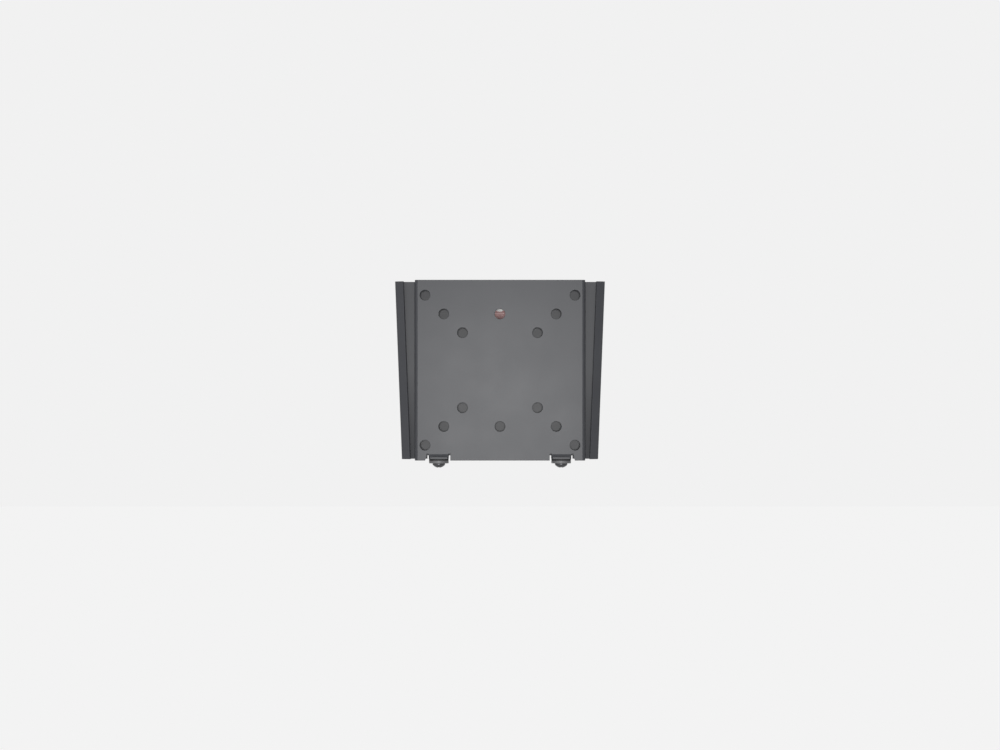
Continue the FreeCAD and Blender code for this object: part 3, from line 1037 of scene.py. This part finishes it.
@dataclass
class WasherStack:
    """Steel washer and dark cushion washer between a screw's head and the tab."""

    side: Side
    bore_radius: float = 2.15 * MM
    washer_edge: float = 0.3 * MM
    cushion_edge: float = 0.35 * MM
    bore_sharpness: float = 3.0

    def _ring(self, node: str, edge: float) -> bpy.types.Object:
        """Builds one washer with rounded edges in the place of its node.

        Args:
            node: CAD node of the washer.
            edge: Rounding of its outer edges. The bore is sharper.

        Returns:
            The washer.
        """
        low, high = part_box(node)
        middle = (low + high) / 2
        axis = TurningAxis.upright(Vector((middle.x, middle.y, low.z)))
        outside, height = (high.x - low.x) / 2, high.z - low.z
        bore_edge = edge / self.bore_sharpness
        profile = rounded(
            [
                (self.bore_radius, 0.0, bore_edge),
                (outside, 0.0, edge),
                (outside, height, edge),
                (self.bore_radius, height, bore_edge),
            ],
            closed=True,
        )
        name = f"{node}_ring"
        return new_piece(name, turned_mesh(name, axis, profile, closed=True))

    def build(self) -> tuple[bpy.types.Object, bpy.types.Object]:
        """Builds both washers.

        Returns:
            The steel washer and the cushion.
        """
        washer = self._ring(f"lock_washer_{self.side.value}", self.washer_edge)
        cushion = self._ring(f"lock_cushion_{self.side.value}", self.cushion_edge)
        return washer, cushion

    def dress(
        self, washer: bpy.types.Object, cushion: bpy.types.Object, rubber: bpy.types.Material
    ) -> None:
        """Finishes both washers and ties them to the frame.

        Args:
            washer: The steel washer.
            cushion: The dark washer.
            rubber: Material of the dark washer.
        """
        side = self.side.value
        low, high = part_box(f"lock_washer_{side}")
        washer.data.materials.append(PHOSPHATED_STEEL.material(self.side, (low + high) / 2))
        cushion.data.materials.append(rubber)
        fit_out(washer, f"lock_washers_{side}", Slot.WASHER_STEEL, f"lock_washer_{side}")
        fit_out(cushion, f"lock_washers_{side}", Slot.CUSHION_RUBBER, f"lock_cushion_{side}")


@dataclass
class SpiritLevel:
    """Level tube with its fluid, bubble, scale rings and stoppers, in a moulded holder."""

    body: str = "wall_plate"
    wall: float = 0.3 * MM
    rim: float = 0.2 * MM
    film: float = 0.02 * MM
    holder_edge: float = 0.15 * MM
    bubble_length: float = 8.0 * MM
    bubble_height: float = 3.4 * MM
    bubble_width: float = 9.2 * MM
    ring_spacing: float = 9.0 * MM
    ring_width: float = 0.35 * MM
    dish: float = 0.4 * MM
    dish_mouth: float = 0.72
    dish_floor: float = 0.62
    bubble_steps: int = 24

    def __post_init__(self) -> None:
        """Reads the tube's axis and sizes from the frame."""
        low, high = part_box("level_vial")
        self.radius = (high.z - low.z) / 2
        self.bore = self.radius - self.wall
        self.fill_radius = self.bore - self.film
        self.half_length = (high.x - low.x) / 2
        self.axis = TurningAxis((low + high) / 2, X_AXIS, Z_AXIS)
        self.fluid_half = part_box("level_liquid")[1].x

    def _tube(self) -> bpy.types.Object:
        """Builds the clear tube.

        Returns:
            The tube.
        """
        profile = rounded(
            [
                (self.bore, -self.half_length, self.rim),
                (self.radius, -self.half_length, self.rim),
                (self.radius, self.half_length, self.rim),
                (self.bore, self.half_length, self.rim),
            ],
            closed=True,
        )
        return new_piece("level_tube", turned_mesh("level_tube", self.axis, profile, closed=True))

    def _fluid(self) -> bpy.types.Object:
        """Builds the fluid with the hollow that its bubble leaves.

        Returns:
            The fluid, with its own material and, on the bubble's hollow, an opaque white painted
            highlight.
        """
        end = self.fluid_half - self.film
        outline = rounded([
            (0.0, -end, 0.0),
            (self.fill_radius, -end, self.rim),
            (self.fill_radius, end, self.rim),
            (0.0, end, 0.0),
        ])
        fluid = new_piece("level_fluid", turned_mesh("level_fluid_full", self.axis, outline))
        fluid.data.materials.append(LEVEL_FLUID.material())
        half = self.bubble_length / 2
        spread = [math.pi * step / self.bubble_steps for step in range(self.bubble_steps + 1)]
        shape = [(max(0.0, math.sin(angle)), -half * math.cos(angle)) for angle in spread]
        shape[0], shape[-1] = (0.0, -half), (0.0, half)
        middle = self.axis.origin + Vector((0.0, 0.0, self.fill_radius))
        axis = TurningAxis(middle, self.axis.along, self.axis.across)
        bubble = new_piece("level_bubble", turned_mesh("level_bubble", axis, shape))
        for corner in bubble.data.vertices:
            corner.co.y = middle.y + (corner.co.y - middle.y) * self.bubble_width / 2
            corner.co.z = middle.z + (corner.co.z - middle.z) * self.bubble_height
        # The hollow's faces get the white painted highlight that stands in for the bubble's bright
        # reflection.
        bubble.data.materials.append(BUBBLE_PAINTED_HIGHLIGHT.material())
        cut_out(fluid, bubble, "level_fluid")
        return fluid

    def _stopper(self, side: Side) -> bpy.types.Object:
        """Builds the dished stopper in one end of the tube.

        Args:
            side: Which end it closes.

        Returns:
            The stopper.
        """
        turn = 1 if side is Side.RIGHT else -1
        axis = TurningAxis(self.axis.origin, self.axis.along * turn, self.axis.across)
        floor = self.half_length - self.dish
        profile = rounded([
            (0.0, self.fluid_half, 0.0),
            (self.fill_radius, self.fluid_half, self.rim),
            (self.fill_radius, self.half_length, self.rim),
            (self.fill_radius * self.dish_mouth, self.half_length, self.rim / 2),
            (self.fill_radius * self.dish_floor, floor, self.rim / 2),
            (0.0, floor, 0.0),
        ])
        name = f"level_stopper_{side.value}"
        return new_piece(name, turned_mesh(name, axis, profile))

    def build(self) -> dict[Slot, list[bpy.types.Object]]:
        """Builds the level's pieces.

        Returns:
            The pieces of each material slot.
        """
        holder = new_piece("level_cradle", merged_copy("level_holder", "level_cradle", whole_faces=False))
        soften(holder, self.holder_edge)
        return {
            Slot.HOLDER_PLASTIC: [holder],
            Slot.VIAL_CLEAR: [self._tube()],
            Slot.LEVEL_FLUID: [self._fluid()],
            Slot.PLUG_PLASTIC: [self._stopper(side) for side in Side],
        }

    def dress(self, pieces: dict[Slot, list[bpy.types.Object]], rings: ScaleRingTree) -> None:
        """Finishes the level's pieces, prints its rings and ties all to the frame.

        Args:
            pieces: The pieces of each material slot.
            rings: Tree that makes the rings.
        """
        finishes = {
            Slot.HOLDER_PLASTIC: WHITE_PLASTIC,
            Slot.VIAL_CLEAR: CLEAR_TUBE,
            Slot.PLUG_PLASTIC: STOPPER_PLASTIC,
        }
        for slot, finish in finishes.items():
            material = finish.material()
            for piece in pieces[slot]:
                piece.data.materials.append(material)
        nodes = {
            Slot.HOLDER_PLASTIC: ["level_holder"],
            Slot.VIAL_CLEAR: ["level_vial"],
            Slot.LEVEL_FLUID: ["level_liquid"],
            Slot.PLUG_PLASTIC: ["level_plug_left", "level_plug_right"],
        }
        for slot, names in nodes.items():
            for piece, node in zip(pieces[slot], names):
                fit_out(piece, self.body, slot, node)
        printed = rings.grow(
            "level_scale_rings",
            {
                "Spacing": self.ring_spacing,
                "Radius": self.radius,
                "Width": self.ring_width,
                "Film": self.film,
                "Axis Y": self.axis.origin.y,
                "Axis Z": self.axis.origin.z,
            },
            SCALE_INK.material(),
        )
        fit_out(printed, self.body, Slot.PLUG_PLASTIC)


# Studio

@dataclass
class Studio:
    """Pale floor, soft light and the camera."""

    camera_place: tuple[float, float, float] = (0.0, -1.518, -0.020)
    camera_shift: float = 0.0252
    lens: float = 81.0
    sensor: float = 36.0
    floor_height: float = -0.8
    floor_size: float = 30.0
    floor_colour: Colour = (232, 232, 232)
    page: float = 0.88
    page_share: float = 0.8
    floor_glow: float = 0.99
    fill: float = 0.64
    key_power: float = 69.0
    key_place: tuple[float, float, float] = (0.0, -4.5, -0.04)
    key_size: float = 0.52
    side_power: float = 2.3
    side_place: tuple[float, float, float] = (-0.8, -1.0, 0.2)
    side_size: float = 1.0

    @staticmethod
    def _seen(net: NodeNet) -> bpy.types.NodeSocket:
        """Finds the rays that show a background.

        Args:
            net: Net of a world or a stage material.

        Returns:
            Socket that is 1 on camera, glossy and transmission rays.
        """
        path = net.add("ShaderNodeLightPath").outputs
        shown = net.add(
            "ShaderNodeMath", {0: path["Is Camera Ray"], 1: path["Is Glossy Ray"]}, operation="MAXIMUM"
        )
        return net.add(
            "ShaderNodeMath", {0: shown.outputs[0], 1: path["Is Transmission Ray"]}, operation="MAXIMUM"
        ).outputs[0]

    def world(self) -> None:
        """Builds the even light all round and the pale page behind the part."""
        world = bpy.data.worlds.new("studio")
        net = cleared_net(world)
        light = net.add("ShaderNodeBackground", {"Color": WHITE, "Strength": self.fill})
        page = net.add("ShaderNodeBackground", {"Color": WHITE, "Strength": self.page})
        mix = net.add(
            "ShaderNodeMixShader", {0: self._seen(net), 1: light.outputs[0], 2: page.outputs[0]}
        )
        net.add("ShaderNodeOutputWorld", {"Surface": mix.outputs[0]})
        bpy.context.scene.world = world

    def floor(self) -> None:
        """Builds the pale floor, which keeps the part's shadow."""
        material = bpy.data.materials.new("studio_floor")
        net = cleared_net(material)
        matt = net.add("ShaderNodeBsdfDiffuse", {"Color": linear(self.floor_colour)})
        glow = net.add("ShaderNodeEmission", {"Strength": self.floor_glow})
        share = net.add("ShaderNodeMath", {0: self._seen(net), 1: self.page_share}, operation="MULTIPLY")
        mix = net.add(
            "ShaderNodeMixShader", {0: share.outputs[0], 1: matt.outputs[0], 2: glow.outputs[0]}
        )
        net.add("ShaderNodeOutputMaterial", {"Surface": mix.outputs[0]})
        half = self.floor_size / 2
        work = bmesh.new()
        corners = [(-half, -half), (half, -half), (half, half), (-half, half)]
        work.faces.new([work.verts.new((x, y, self.floor_height)) for x, y in corners])
        floor = new_piece("studio_floor", finish_mesh(work, "studio_floor"))
        floor.data.materials.append(material)

    @staticmethod
    def _panel(name: str, power: float, place: tuple[float, float, float], size: float) -> None:
        """Builds a round soft light that points at the part.

        Args:
            name: Name of the light.
            power: Its power in watts.
            place: Where it stands.
            size: Its diameter.
        """
        light = bpy.data.lights.new(name, "AREA")
        light.shape = "DISK"
        light.energy = power
        light.size = size
        panel = bpy.data.objects.new(name, light)
        panel.location = place
        panel.rotation_euler = (-Vector(place)).to_track_quat("-Z", "Y").to_euler()
        bpy.context.scene.collection.objects.link(panel)

    def lights(self) -> None:
        """Builds the frontal key light and a weak broad light from the left."""
        self._panel("key", self.key_power, self.key_place, self.key_size)
        self._panel("side", self.side_power, self.side_place, self.side_size)

    def camera(self) -> None:
        """Builds the camera, square to the wall."""
        data = bpy.data.cameras.new("camera")
        data.lens = self.lens
        data.sensor_width = self.sensor
        data.shift_y = self.camera_shift
        camera = bpy.data.objects.new("camera", data)
        camera.location = self.camera_place
        camera.rotation_euler = (QUARTER_TURN, 0.0, 0.0)
        bpy.context.scene.collection.objects.link(camera)
        bpy.context.scene.camera = camera

    def build(self) -> None:
        """Builds the whole studio."""
        bpy.context.scene.view_settings.view_transform = "Standard"
        self.world()
        self.floor()
        self.lights()
        self.camera()


def main() -> None:
    """Builds every sub-assembly and the studio."""
    logging.basicConfig(level=logging.INFO, format="%(name)s %(message)s")
    for plate in (FoldedPlate("wall_plate", WALL_COAT), FoldedPlate("tv_plate", SCREEN_COAT)):
        plate.dress(plate.build())
    thread = ThreadTree()
    rubber = RUBBER.material()
    for side in Side:
        screw = LockingScrew(side)
        screw.dress(screw.build(), thread)
        stack = WasherStack(side)
        stack.dress(*stack.build(), rubber)
    level = SpiritLevel()
    level.dress(level.build(), ScaleRingTree())
    Studio().build()


if __name__ == "__main__":
    main()
